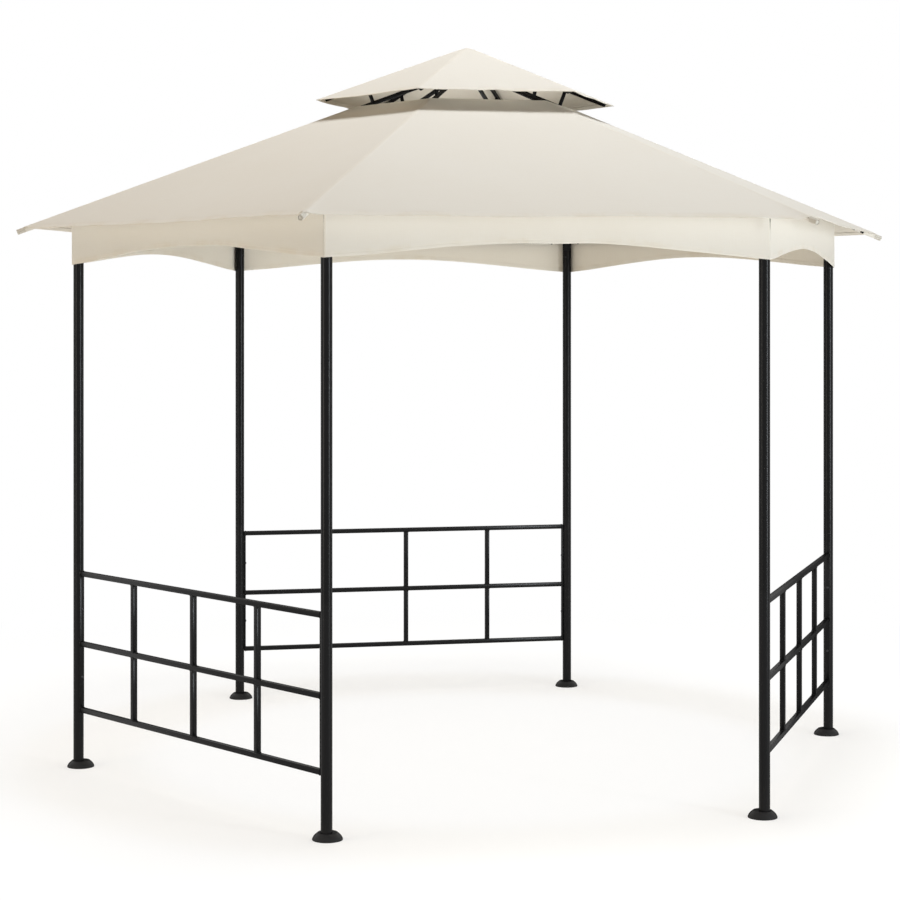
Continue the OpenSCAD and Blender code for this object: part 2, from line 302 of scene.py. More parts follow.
def woven(f, colours, light, deep, doubled):
    """Coated polyester with weave, slubs, seams and stitched hems, laid out on the cut"""
    f.set("Specular IOR Level", 0.22)
    f.set("Sheen Weight", 0.08)
    f.set("Sheen Roughness", 0.6)
    cut, across, along = f.cut_map("cut")
    _, to_seam, to_hem = f.cut_map("edges")
    weave = across.wave(WEAVE_PITCH) * along.wave(WEAVE_PITCH) * 0.5 + 0.5
    slub = f.noise(f.stretched(cut, 14, 620, 1), 1) + f.noise(f.stretched(cut, 620, 14, 1), 1)
    cloud = f.noise(f.place(), 1.7, detail=3, roughness=0.55)
    grime = f.noise(f.place(), 9, detail=5, roughness=0.62)
    double = 1 - to_seam.within(SEAM - EDGE, SEAM + EDGE) * to_hem.within(HEM - EDGE, HEM + EDGE)
    seam_row = abs(to_seam - SEAM_ROW).within(*THREAD) * along.wave(STITCH_PITCH).within(*DASH)
    hem_row = abs(to_hem - HEM_ROW).within(*THREAD) * across.wave(STITCH_PITCH).within(*DASH)
    stitches = seam_row.larger(hem_row)
    worn = to_hem.within(0.05, 0) * grime.within(0.42, 0.72) * 0.5
    shade = (slub - 1) * 0.16 + (cloud - 0.5) * 0.22 + (1 - weave) * 0.16 + worn
    cloth = f.mix(shade.within(-0.18, 0.6), opaque(light), opaque(deep))
    cloth = f.mix(double * 0.35, cloth, opaque(doubled))
    f.set("Base Color", f.mix(stitches * 0.8, cloth, opaque(colours.thread)))
    f.set("Roughness", 0.74 + grime * 0.12 - stitches * 0.15)
    fine = f.bump(weave * 0.6 + slub * 0.4, strength=0.22)
    dent = abs(to_hem - HEM_ROW).within(*DENTED) * 0.7
    f.set("Normal", f.bump(stitches - dent, strength=0.5, distance=0.0006, below=fine))


def cream_cloth(f, colours):
    woven(f, colours, colours.cream, colours.cream_deep, colours.thread)


# Finish of the undersides and inner faces: the inner face's tone darkened and warmed as painted shade of the
# light under the roof
def cream_lining_and_shade(f, colours):
    woven(f, colours, colours.lining_and_shade, colours.lining_and_shade_deep, colours.lining_and_shade)


def black_powder_coat(f, colours):
    """Orange peel, uneven gloss, rubbed and dusty places"""
    f.set("Specular IOR Level", 0.12)
    place = f.place()
    height, facing = f.height_and_facing(place)
    patch = f.noise(place, 5, detail=4, roughness=0.6)
    specks = f.noise(place, 38, detail=4, roughness=0.65)
    rubbed = f.noise(f.stretched(place, 60, 60, 7), 1, detail=5, roughness=0.7).within(0.66, 0.8)
    dust = facing.within(0.55, 0.95) * specks.within(0.35, 0.75) * 0.1
    low = height.within(0.16, 0.02) * patch.within(0.4, 0.7) * 0.1
    f.set("Base Color", f.mix(dust + low + rubbed * 0.1, opaque(colours.powder), opaque(colours.scuff)))
    f.set("Roughness", 0.21 + patch * 0.08 + dust * 0.8 + rubbed * 0.08)
    f.set("Normal", f.bump(f.noise(place, 420), strength=0.1, distance=0.0005))
    f.dull_at_edges(colours.powder)


def black_moulding(f, colours):
    """Fine grain, dusty towards the ground"""
    f.set("Specular IOR Level", 0.16)
    place = f.place()
    height, facing = f.height_and_facing(place)
    patch = f.noise(place, 24, detail=4, roughness=0.6)
    dust = (height.within(0.05, 0) * 0.14 + facing.within(0.6, 1) * 0.08) * patch.within(0.35, 0.7)
    f.set("Base Color", f.mix(dust, opaque(colours.moulding), opaque(colours.scuff)))
    f.set("Roughness", 0.46 + patch * 0.14 + dust)
    f.set("Normal", f.bump(f.noise(place, 1500, roughness=0.6), strength=0.16))
    f.dull_at_edges(colours.moulding)


def plug_moulding(f, colours):
    """Pale moulded plastic with a fine grain"""
    f.set("Specular IOR Level", 0.3)
    place = f.place()
    patch = f.noise(place, 90, detail=4, roughness=0.6)
    f.set("Base Color", f.mix(patch.within(0.3, 0.8) * 0.25, opaque(colours.plug), opaque(colours.plug, 0.8)))
    f.set("Roughness", 0.45 + patch * 0.15)
    f.set("Normal", f.bump(f.noise(place, 1500, roughness=0.6), strength=0.12))


def grey_binding(f, colours):
    """Woven tape round the sleeves' mouths"""
    f.set("Specular IOR Level", 0.2)
    _, across, along = f.cut_map("cut")
    ribs = along.wave(RIB_PITCH) * 0.5 + 0.5
    weave = across.wave(WEAVE_PITCH) * 0.25 + ribs * 0.75
    f.set("Base Color", f.mix(weave * 0.35, opaque(colours.binding), opaque(colours.binding, 0.82)))
    f.set("Roughness", 0.8 - weave * 0.08)
    f.set("Normal", f.bump(weave, strength=0.4))


def blackened_zinc(f, colours):
    """Dark plated metal with rubbed places"""
    f.set("Metallic", 1)
    patch = f.noise(f.place(), 260, detail=4, roughness=0.6)
    f.set("Base Color", f.mix(patch.within(0.55, 0.8), opaque(colours.zinc), opaque(colours.scuff)))
    f.set("Roughness", 0.34 + patch * 0.22)
    f.set("Normal", f.bump(patch, strength=0.08, distance=0.0003))


def mode(kind):
    bpy.ops.object.mode_set(mode=kind)


def fresh():
    """Goes to object mode with nothing selected"""
    if bpy.context.object and bpy.context.object.mode != "OBJECT":
        mode("OBJECT")
    bpy.ops.object.select_all(action="DESELECT")


def pick(piece):
    fresh()
    piece.select_set(True)
    bpy.context.view_layer.objects.active = piece


def added(operator, **settings):
    """The object that an operator adds"""
    fresh()
    operator(**settings)
    return bpy.context.object


def edit(piece, faces=None, edges=None):
    """Opens a piece with the faces selected that pass a test, or the edges whose middles do"""
    pick(piece)
    mode("EDIT")
    bpy.ops.mesh.select_mode(type="FACE" if faces else "EDGE")
    bpy.ops.mesh.select_all(action="DESELECT")
    mode("OBJECT")
    mesh = piece.data
    for face in mesh.polygons if faces else []:
        face.select = faces(face)
    for edge in mesh.edges if edges else []:
        a, b = (mesh.vertices[i].co for i in edge.vertices)
        edge.select = edges((a + b) / 2)
    mode("EDIT")


def copies(piece, places):
    """Copies of a piece at the given places; the piece itself goes"""
    made = []
    for place in places:
        copy = bpy.data.objects.new(piece.name, piece.data.copy())
        copy.data.transform(place)
        bpy.context.collection.objects.link(copy)
        made.append(copy)
    bpy.data.objects.remove(piece)
    return made


def joined(parts, name):
    fresh()
    for part in parts:
        part.select_set(True)
    bpy.context.view_layer.objects.active = parts[0]
    bpy.ops.object.join()
    whole = bpy.context.object
    whole.name = whole.data.name = name
    return whole


def dress(piece, look, smooth_below=35, stands_for=()):
    """Shades a finished piece, gives it its finish and sets it on the frame"""
    pick(piece)
    bpy.ops.object.shade_smooth_by_angle(angle=radians(smooth_below))
    piece.data.materials.clear()
    piece.data.materials.append(finish(look))
    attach(piece, "root")
    if stands_for:
        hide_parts(*stands_for)


def dress_cloth(piece, stands_for, second, test):
    """Dresses a piece of cloth, and the faces that pass a test with a second finish"""
    dress(piece, cream_cloth, 60, [stands_for])
    piece.data.materials.append(finish(second))
    for face in piece.data.polygons:
        if test(face):
            face.material_index = 1


def downward(face):
    return face.normal.z < -0.3


def inward(face):
    return face.normal.xy.dot(face.center.xy) < 0


def corner_turn(k):
    return Matrix.Rotation(SIXTH * k, 4, "Z")


def side_turn(k):
    return corner_turn(k + 0.5)


def side_axes(k):
    """Directions outwards and sideways of side k"""
    turn = SIXTH * (k + 0.5)
    return Vector((cos(turn), sin(turn), 0)), Vector((-sin(turn), cos(turn), 0))


def pointing(place, direction):
    """Sets an upright piece at a place, its top towards a direction"""
    return Matrix.Translation(place) @ Vector(direction).to_track_quat("Z", "Y").to_matrix().to_4x4()


def at_corners(place, direction):
    """The same at all six corners, for a place given at the right one"""
    return [corner_turn(k) @ pointing(place, direction) for k in range(6)]


def soft(low, high, value):
    """A soft step from 0 at low to 1 at high"""
    t = min(max((value - low) / (high - low), 0), 1.0)
    return t * t * (3 - 2 * t)


def between(values, s):
    """Smooth value at share s of a row of evenly spaced ones"""
    at = min(max(s, 0), 1.0) * (len(values) - 1)
    i = min(int(at), len(values) - 2)
    t = soft(0, 1, at - i)
    return values[i] * (1 - t) + values[i + 1] * t


def to_hip(out, y):
    """Distance from a place on a panel to its nearer hip"""
    return max(0, out / 2 - abs(y) * SIN_SIXTH)


def rounding(width, distance):
    """How far a rounded fold draws in at a distance from it"""
    return max(0, width - distance) ** 2 / (4 * width)


def rafter_height(steel, cloth, out):
    """Height of a rafter's axis at a radius"""
    return steel.rafter_rise - (out - steel.post_circle) * tan(cloth.pitch)


# Stitch row as a share of a hem, half width and depth of its dent, and where the fold ends
STITCH_SHARE, DENT_HALF, DENT, FOLD_END = 0.77, 0.0018, 0.0004, 0.006
FOLD_CELLS = 6


def hem_path(hem, depth):
    """Distances from the edge and depths of the rows of a turned hem, from its raw edge round the fold"""
    stitch = STITCH_SHARE * hem
    upper = [(FOLD_END, 0), (stitch - DENT_HALF, 0), (stitch, DENT), (stitch + DENT_HALF, 0), (hem, 0)]
    under = [(along, depth - dent) for along, dent in reversed(upper)]
    turns = [pi * (1 - i / FOLD_CELLS) for i in range(FOLD_CELLS + 1)]
    fold = [(depth / 2 * (1 - sin(t)), depth / 2 * (1 - cos(t))) for t in turns]
    return under + fold + upper


def lateral(i, cells, near, half):
    """Place of column i across a panel: close columns beside both seams, even ones between"""
    squeeze = min(1.0, half / (2.2 * near[-1]))
    if i < len(near):
        return near[i] * squeeze - half
    if i > cells - len(near):
        return half - near[cells - i] * squeeze
    inner = half - near[-1] * squeeze
    first = len(near) - 1
    return inner * (2 * (i - first) / (cells - 2 * first) - 1)


def cloth_grid(name, columns, rows, panel_cells, thickness, place, measure, keep=None):
    """Lays a grid out as sewn cloth: place gives a corner's position, measure its place on the cut and its
    distances from seam and hem, and keep the cells that stay"""
    cloth = added(
        bpy.ops.mesh.primitive_grid_add, x_subdivisions=columns, y_subdivisions=rows, size=2, calc_uvs=False)
    cloth.name = cloth.data.name = name
    mesh = cloth.data
    where = [(round((v.co.x + 1) / 2 * columns), round((v.co.y + 1) / 2 * rows)) for v in mesh.vertices]
    for vertex, (i, j) in zip(mesh.vertices, where):
        vertex.co = place(i, j)
    cut, edges = mesh.uv_layers.new(name="cut"), mesh.uv_layers.new(name="edges")
    spare = set()
    for face in mesh.polygons:
        column, row = (min(where[v][axis] for v in face.vertices) for axis in (0, 1))
        for loop in face.loop_indices:
            i, j = where[mesh.loops[loop].vertex_index]
            cut.data[loop].uv, edges.data[loop].uv = measure(column // panel_cells, i, j)
        if keep and not keep(column, row):
            spare.add(face.index)
    if spare:
        edit(cloth, faces=lambda face: face.index in spare)
        bpy.ops.mesh.delete(type="FACE")
    pick(cloth)
    mode("EDIT")
    bpy.ops.mesh.select_all(action="SELECT")
    bpy.ops.mesh.remove_doubles(threshold=0.00002)
    mode("OBJECT")
    wall = cloth.modifiers.new("thickness", "SOLIDIFY")
    wall.thickness, wall.offset, wall.use_even_offset = thickness, -1, False
    bpy.ops.object.modifier_apply(modifier=wall.name)
    return cloth


# Hang of the main eave's hem at nine places along each side, in millimetres below the straight slope
EAVE_HANG = [
    [2, 2, 0, 2, 3, 1, -1, 1, 2],
    [2, 1, 2, 3, 0, -1, 1, 2, 2],
    [2, 2, 3, 0, -1, 2, 3, 2, 2],
    [2, 4.5, 4.2, 6.1, 7.6, 6.9, 3.8, 4.5, 9],
    [6, 7.8, 3.9, 5.9, 3.1, 0.2, 1.5, 4.1, 9.4],
    [2, -4.3, -2.4, 1.3, 2, -1, -0.5, 1, 2],
]
# The same for the valance's hem, below the plain arch
VALANCE_HANG = 3 * [[0, 3, 4, 4, 4, 4, 4, 3, 0]] + [
    [1, 4.6, 4.2, 5.2, 7.8, 3.5, 5.2, 4, 0],
    [0, 4.7, 4.6, 7, 10.6, 4.4, 3.9, 1.5, 0],
    [1, 4, 5, 5, 3.6, 2.2, -2, -3, 0],
]
# The same for the upper canopy, and where its hang starts
CAP_HANG = [
    [0, 1, 2, 0, -1, 1, 2, 1, 0],
    [0, 1, 0, -2, 1, 2, 0, 1, 0],
    [0, 2, 1, 0, -2, 0, 1, 1, 0],
    [0, 0, 1, 1, 0, 1, 0, 0, 0],
    [0, 0, -1, 0, -4, 0, 0, -1, 0],
    [0, 1, 2, 0, -2, -1, 1, 1, 0],
]
CAP_HANG_FROM = 0.3
# Height, waves and shifts per side of the roof's faint wrinkles
WRINKLE, WAVES_ACROSS, SHIFT_ACROSS, WAVES_DOWN, SHIFT_DOWN = 0.0011, 6.1, 1.7, 9.0, 2.3
# Share of the hollow lost at the eave, radius where the seams end, least half width
EAVE_TAUT, SEAMS_END, LEAST = 0.3, 0.03, 1e-9


class RoofShape:
    """Upper face of a canopy that hangs a little between its hips"""

    def __init__(self, cloth, peak, pitch, eave, belly, hang, hang_from, blunt=0):
        self.cloth, self.peak, self.slope = cloth, peak, tan(pitch) / COS_HALF
        self.tilt = atan(self.slope)
        self.eave, self.belly, self.blunt = eave * COS_HALF, belly, blunt
        self.hang, self.hang_from = hang, hang_from

    def sag(self, k, u, out, hip):
        """Depth under the plain slope, at share u across side k"""
        tube = self.cloth.sleeve_width / 2
        spread = (out / self.eave) ** 2 * (1 - u * u)
        low = self.belly * spread * (1 - EAVE_TAUT * soft(0.7, 1.0, out / self.eave))
        ripple = sin(WAVES_ACROSS * u + SHIFT_ACROSS * k) * sin(WAVES_DOWN * out + SHIFT_DOWN * k)
        past = max(0, (out - self.hang_from) / (self.eave - self.hang_from))
        drop = between(self.hang[k], (u + 1) / 2) / 1000 * past ** 1.5
        return low + WRINKLE * spread * ripple + drop * soft(0.6 * tube, 3 * tube, hip)

    def at(self, k, y, out, depth=0):
        """Point of side k, at a depth under its upper face"""
        outward, sideways = side_axes(k)
        cloth, hip = self.cloth, to_hip(out, y)
        share = y / max(out * TAN_HALF, LEAST)
        rounded = hypot(out + rounding(cloth.ridge_rounding, hip), self.blunt)
        height = self.peak - self.slope * rounded - self.sag(k, share, out, hip)
        seam = 1 - soft(cloth.seam - EDGE, cloth.seam + EDGE, hip) if out > SEAMS_END else 0
        normal = outward * sin(self.tilt) + Vector((0, 0, cos(self.tilt)))
        return outward * out + sideways * y + Vector((0, 0, height)) + normal * (seam * cloth.seam_rise - depth)


def main_shape(cloth):
    face = cloth.valance_corner * COS_HALF
    return RoofShape(cloth, cloth.peak, cloth.pitch, cloth.eave, cloth.belly, EAVE_HANG, face)


def cap_shape(cloth):
    return RoofShape(cloth, cloth.cap_peak, cloth.cap_pitch, cloth.cap_eave, cloth.cap_belly,
                     CAP_HANG, CAP_HANG_FROM, cloth.cap_blunt)


# Columns beside a hip, clear cloth over a hem as a share of it, step between panels on the cut
ROOF_NEAR = [0, 0.002, 0.004, 0.006, 0.0076, 0.0085, 0.0095, 0.012, 0.016, 0.024, 0.04]
HEM_CLEAR, ROOF_STEP = 1.3, 1.7


def canopy_sheet(name, shape, cloth, inner, between_cells, slope_cells):
    """One sheet round all six sides, from the eave's hem up to the inner edge or the peak"""
    tilt = cos(shape.tilt)
    run = (shape.eave - inner) / tilt
    path = hem_path(cloth.hem, cloth.hem_depth)
    start = cloth.hem * HEM_CLEAR
    end = run - (start if inner else 0)
    middle = [(start + (end - start) * (i / slope_cells), 0) for i in range(slope_cells + 1)]
    rows = path + middle + ([(run - along, depth) for along, depth in reversed(path)] if inner else [])
    cells = between_cells + 2 * (len(ROOF_NEAR) - 1)
    columns = 6 * cells

    def spot(column, row):
        """Place sideways and outwards, distance from the eave, and depth"""
        along, depth = rows[row]
        out = max(shape.eave - along * tilt, 0)
        return lateral(column, cells, ROOF_NEAR, out * TAN_HALF), out, along, depth

    def place(i, j):
        k, column = divmod(i % columns, cells)
        y, out, _, depth = spot(column, j)
        return shape.at(k, y, out, depth)

    def measure(panel, i, j):
        y, out, along, _ = spot(i - panel * cells, j)
        to_hem = min(along, run - along) if inner else along
        return (y + ROOF_STEP * panel, along), (to_hip(out, y), to_hem)

    return cloth_grid(name, columns, len(rows) - 1, cells, cloth.thickness, place, measure)


class GAZEBO_OT_main_canopy(bpy.types.Operator):
    """Sews the main canopy, one sheet with an open vent and turned hems"""
    bl_idname = "gazebo.main_canopy"
    bl_label = "Main canopy"

    def execute(self, context):
        _, cloth = sizes(context)
        vent = cloth.vent * COS_HALF
        sheet = canopy_sheet(
            "main_canopy_cloth", main_shape(cloth), cloth, vent, between_cells=34, slope_cells=34)
        dress_cloth(sheet, "main_canopy", cream_lining_and_shade, downward)
        return {"FINISHED"}


class GAZEBO_OT_upper_canopy(bpy.types.Operator):
    """Sews the small upper canopy over the vent"""
    bl_idname = "gazebo.upper_canopy"
    bl_label = "Upper canopy"

    def execute(self, context):
        _, cloth = sizes(context)
        sheet = canopy_sheet("upper_canopy_cloth", cap_shape(cloth), cloth, 0, between_cells=20, slope_cells=26)
        dress_cloth(sheet, "upper_canopy", cream_lining_and_shade, downward)
        return {"FINISHED"}


SLEEVE_ROWS, SLEEVE_COLUMNS = 28, 48
# Width and depth of a sleeve's hem, and its scale on the cloth's finish
SLEEVE_HEM, SLEEVE_SCALE = (0.012, 0.0022), 1.54
# Height of the puckers, waves round and along a sleeve, and where they are full
PUCKER, PUCKERS_ROUND, PUCKERS_ALONG, PUCKERED = 0.00045, 5, 60, 0.02
# Slot's upper edge as a share of the radius, and a distance clear of any seam
SLOT_TOP, NO_SEAM = 0.3, 0.03


class GAZEBO_OT_sleeves(bpy.types.Operator):
    """Sews the open sleeves for the rafter ends at the main canopy's corners"""
    bl_idname = "gazebo.sleeves"
    bl_label = "Corner sleeves"

    def execute(self, context):
        steel, cloth = sizes(context)
        pitch, radius = cloth.pitch, cloth.sleeve_width / 2
        back, reach = -cloth.sleeve_cover, cloth.sleeve_reach
        mouth = [(reach - along, depth) for along, depth in reversed(hem_path(*SLEEVE_HEM))]
        step = (mouth[0][0] - back) / SLEEVE_ROWS
        rows = [(back + step * i, 0) for i in range(SLEEVE_ROWS)] + mouth
        axis = Vector((cos(pitch), 0, -sin(pitch)))
        across, upward = Vector((0, 1, 0)), Vector((sin(pitch), 0, cos(pitch)))
        start = Vector((cloth.eave, 0, rafter_height(steel, cloth, cloth.eave)))
        round_share = 2 * pi / SLEEVE_COLUMNS

        def place(i, j):
            along, depth = rows[j]
            turn = round_share * (i % SLEEVE_COLUMNS)
            pucker = PUCKER * sin(PUCKERS_ROUND * turn + PUCKERS_ALONG * along) * soft(back, PUCKERED, along)
            out = radius + pucker - depth
            return start + axis * along + (across * cos(turn) + upward * sin(turn)) * out

        def measure(panel, i, j):
            along, _ = rows[j]
            return (round_share * i * radius, along), (NO_SEAM, max(0, reach - along) * SLEEVE_SCALE)

        def keep(column, row):
            """All but the slot in the sides and underside"""
            along = (rows[row][0] + rows[row + 1][0]) / 2
            above = sin(round_share * (column + 0.5)) > SLOT_TOP
            return above or abs(along + cloth.slot_middle) > cloth.slot_length / 2

        def bound(face):
            flat = Vector((face.center.xy.length, 0, face.center.z))
            return (flat - start).dot(axis) > reach - cloth.binding_width

        sleeve = cloth_grid("corner_sleeve", SLEEVE_COLUMNS, len(rows) - 1, SLEEVE_COLUMNS,
                            cloth.thickness, place, measure, keep)
        whole = joined(copies(sleeve, [corner_turn(k) for k in range(6)]), "corner_sleeves_cloth")
        dress_cloth(whole, "corner_sleeves", grey_binding, bound)
        return {"FINISHED"}


# How far each corner's slit stands open under its rafter, and from what height
SLITS = 4 * [(0.18, 1.928)] + [(0.06, 1.928), (0.30, 1.909)]
# Heights between which a slit opens fully, and the width over which the cloth gives way
SLIT_OPENS, SLIT_FULL, SLIT_EASE = 1.985, 2.012, 0.05
VALANCE_NEAR = [0, 0.003, 0.006, 0.0075, 0.0085, 0.012, 0.017, 0.024, 0.034, 0.05]
VALANCE_CELLS, VALANCE_ROWS = 44, 14
# Width and depth of the hem, its scale on the cloth's finish, and the rows just over it
VALANCE_HEM, VALANCE_SCALE, OVER_HEM = (0.014, 0.0022), 1.72, (0.02, 0.035)
# Half seam and rounding at the corners, gap under the canopy, step between panels on the cut
VALANCE_SEAM, VALANCE_ROUNDING, VALANCE_GAP, VALANCE_STEP = 0.008, 0.010, 0.0006, 1.6
# Share of the arch that runs out flat, and how fast the cloth comes free of the corners
ARCH_FLARE, FREEING = 0.25, 0.7
# Size, waves along a side and shift per side of the cloth's two swings
SWINGS = [(0.0024, 9.5, 2.1), (0.0014, 21, 1.3)]


class GAZEBO_OT_valance(bpy.types.Operator):
    """Hangs the valance outside the posts, with arched hems and slits for the rafters"""
    bl_idname = "gazebo.valance"
    bl_label = "Valance"

    def execute(self, context):
        _, cloth = sizes(context)
        roof = main_shape(cloth)
        side, half = cloth.valance_corner, cloth.valance_corner / 2
        face = side * COS_HALF
        low_rows = hem_path(*VALANCE_HEM) + [(rise, 0) for rise in OVER_HEM]
        cells = VALANCE_CELLS + 2 * (len(VALANCE_NEAR) - 1)
        period = cells + 1

        def foot(k, y):
            """Height of the arched lower edge"""
            t = y / side + 0.5
            arch = (1 - ARCH_FLARE) * sin(pi * t) + ARCH_FLARE * (1 - cos(2 * pi * t)) / 2
            return cloth.valance_foot + cloth.arch * arch - between(VALANCE_HANG[k], t) / 1000

        def spot(k, column, row):
            """Place sideways, height and depth, and the ends of the column"""
            y = lateral(column, cells, VALANCE_NEAR, half)
            bottom = foot(k, y)
            top = roof.at(k, y, face).z - cloth.thickness - VALANCE_GAP
            rise, depth = low_rows[min(row, len(low_rows) - 1)]
            climb = max(0, row + 1 - len(low_rows)) / VALANCE_ROWS
            z = bottom + rise + (top - bottom - rise) * climb
            under, low = SLITS[(k + (y > 0)) % 6]
            opened = under * soft(low, SLIT_OPENS, z) + (1 - under) * soft(SLIT_OPENS, SLIT_FULL, z)
            slit, to_corner = cloth.slit_width * opened, half - abs(y)
            if to_corner < SLIT_EASE:
                y = copysign(half - slit - to_corner * (SLIT_EASE - slit) / SLIT_EASE, y)
            return y, z, depth, bottom, top

        def place(i, j):
            k, column = divmod(i, period)
            y, z, depth, bottom, top = spot(k, column, j)
            outward, sideways = side_axes(k)
            t = y / side + 0.5
            free = sin(pi * t) ** FREEING if 0 < t < 1 else 0
            free *= 1 - soft(0, 1.0, (z - bottom) / (top - bottom))
            swing = free * sum(size * sin(waves * t + shift * k) for size, waves, shift in SWINGS)
            seam = 1 - soft(VALANCE_SEAM - EDGE, VALANCE_SEAM + EDGE, half - abs(y))
            out = face + swing + seam * cloth.seam_rise - depth
            eased = out / (out + rounding(VALANCE_ROUNDING, out / 2 - abs(y) * SIN_SIXTH))
            point = (outward * out + sideways * y) * eased
            point.z = z
            return point

        def measure(panel, i, j):
            y, z, _, bottom, _ = spot(panel, i - panel * period, j)
            return (y + VALANCE_STEP * panel, z), (max(0, half - abs(y)), (z - bottom) * VALANCE_SCALE)

        sheet = cloth_grid("valance_cloth", 6 * period - 1, len(low_rows) + VALANCE_ROWS - 1, period,
                           cloth.thickness, place, measure, lambda column, row: column % period != cells)
        dress_cloth(sheet, "valance", cream_lining_and_shade, inward)
        return {"FINISHED"}


def bevel(offset, segments):
    bpy.ops.mesh.bevel(offset=offset, segments=segments, affect="EDGES")


def extrude(height):
    bpy.ops.mesh.extrude_region_move(TRANSFORM_OT_translate={"value": (0, 0, height)})


def steel_bar(centre, size, edge):
    bar = added(bpy.ops.mesh.primitive_cube_add, size=1)
    mode("EDIT")
    bpy.ops.transform.resize(value=size, center_override=(0, 0, 0))
    bevel(edge, 2)
    bpy.ops.transform.translate(value=centre)
    mode("OBJECT")
    return bar


RIPPLE, RIPPLES, CORNER_REACH = 0.16, 14, 1.3


def weld_ring(half, bead):
    """A slightly rippled weld bead round a square bar"""
    ring = added(bpy.ops.mesh.primitive_torus_add, major_segments=28, minor_segments=6,
                 major_radius=half, minor_radius=bead)
    for vertex in ring.data.vertices:
        flat = Vector((vertex.co.x, vertex.co.y, 0))
        turn = atan2(flat.y, flat.x)
        square = half / max(abs(cos(turn)), abs(sin(turn)))
        ripple = 1 + RIPPLE * sin(RIPPLES * turn)
        swell = (flat.length - half) * ripple
        flat.length = min(square, half * CORNER_REACH) + swell
        vertex.co = (flat.x, flat.y, vertex.co.z * ripple)
    return ring


# What still counts as level, and as lying at a height
LEVEL, NEARLY = 0.99, 0.00001


def standing(vertices, radius, height):
    """A cylinder standing on the origin"""
    piece = added(bpy.ops.mesh.primitive_cylinder_add, vertices=vertices, radius=radius, depth=height)
    mode("EDIT")
    bpy.ops.transform.translate(value=(0, 0, height / 2))
    mode("OBJECT")
    return piece


def round_rim(piece, height, offset, segments):
    """Rounds the rim of a piece at the height of its top"""
    edit(piece, edges=lambda at: at.z > height - NEARLY)
    bevel(offset, segments)


def button_screw(radius, height):
    """A domed screw head with a hexagon socket, standing on the origin"""
    head = standing(24, radius, height)
    round_rim(head, height, height * 0.7, 3)
    edit(head, faces=lambda face: face.normal.z > LEVEL)
    bpy.ops.mesh.inset(thickness=radius * 0.18)
    mode("OBJECT")
    for vertex in [v for v in head.data.vertices if v.select]:
        turn = atan2(vertex.co.y, vertex.co.x) % SIXTH - SIXTH / 2
        flat = vertex.co.xy.normalized() * (radius * 0.42 * COS_HALF / cos(turn))
        vertex.co = (flat.x, flat.y, vertex.co.z)
    edit(head, faces=lambda face: face.normal.z > LEVEL and face.center.xy.length < radius * 0.1)
    extrude(-height * 0.6)
    mode("OBJECT")
    return head


def spring_button(radius, height):
    """A round-topped spring button, standing on the origin"""
    button = standing(20, radius, height)
    round_rim(button, height, min(height, radius) * 0.75, 4)
    mode("OBJECT")
    return button


# Sizes of a tube plug
FLANGE, FLANGE_EDGE, NOSE_EDGE, DIMPLE, STUB = 0.0022, 0.0006, 0.0012, 0.0004, 0.01


def tube_plug(radius, bore, nose, height):
    """A push-in plug for a round tube: a flange on the origin, a stub below and a rounded nose above"""
    plug = standing(32, radius, FLANGE)
    round_rim(plug, FLANGE, FLANGE_EDGE, 2)
    edit(plug, faces=lambda face: face.normal.z > LEVEL)
    bpy.ops.mesh.inset(thickness=radius - FLANGE_EDGE - nose)
    extrude(height)
    top = FLANGE + height
    round_rim(plug, top, min(NOSE_EDGE, height * 0.9), 3)
    edit(plug, faces=lambda face: face.normal.z > LEVEL and face.center.z > top - NEARLY)
    bpy.ops.mesh.inset(thickness=nose * 0.35)
    bpy.ops.mesh.inset(thickness=DIMPLE, depth=-DIMPLE)
    edit(plug, faces=lambda face: face.normal.z < -LEVEL)
    bpy.ops.mesh.inset(thickness=radius - bore)
    extrude(-STUB)
    mode("OBJECT")
    return plug


STRIP_GAP, STRIP_EDGE = 0.0003, 0.0012


class GAZEBO_OT_railings(bpy.types.Operator):
    """Builds the three railings from square bars and weld beads"""
    bl_idname = "gazebo.railings"
    bl_label = "Railings"

    def execute(self, context):
        steel, _ = sizes(context)
        bar, half, edge = steel.bar_width, steel.bar_width / 2, steel.bar_rounding
        out, spacing = steel.post_circle * COS_HALF, steel.post_circle
        rails = [steel.bottom_rail, steel.middle_rail, steel.top_rail]
        strip_at = spacing / 2 - steel.post_width / 2 - STRIP_GAP - steel.strip / 2
        reach = strip_at - steel.strip / 2
        middle, tall = (rails[0] + rails[2]) / 2, rails[2] - rails[0] + bar
        parts = [steel_bar((out, 0, z), (bar, 2 * reach, bar), edge) for z in rails]
        strip = (bar, steel.strip, tall)
        parts += [steel_bar((out, way * strip_at, middle), strip, STRIP_EDGE) for way in (-1, 1)]
        spots = []
        for quarter in (-1, 0, 1):
            y = quarter * spacing / 4
            for low, high in zip(rails, rails[1:]):
                parts.append(steel_bar((out, y, (low + high) / 2), (bar, bar, high - low - bar), edge))
                spots += [Matrix.Translation((out, y, z)) for z in (low + half, high - half)]
        lying = Matrix.Rotation(pi / 2, 4, "X")
        spots += [Matrix.Translation((out, way * reach, z)) @ lying for z in rails for way in (-1, 1)]
        parts += copies(weld_ring(half, steel.bead), spots)
        railing = joined(parts, "railing")
        for k, piece in zip(RAILED, copies(railing, [side_turn(k) for k in RAILED])):
            piece.name = piece.data.name = f"welded_railing_{SIDES[k]}"
            dress(piece, black_powder_coat, 30, [f"railing_{SIDES[k]}"])
        return {"FINISHED"}


# Radius and height of a screw head and of a spring button
SCREW, BUTTON = (0.0048, 0.0030), (0.0036, 0.0030)
# Radius of the crown's screws, and the buttons' distances from post top and beam end
HUB_SCREWS, POST_BUTTON, BEAM_BUTTON = 0.043, 0.028, 0.024
# How far a plug's flange and stub lie inside a tube, and a rafter plug inside its sleeve
FLANGE_INSET, STUB_INSET, PLUG_BACK = 0.0002, 0.0013, 0.012
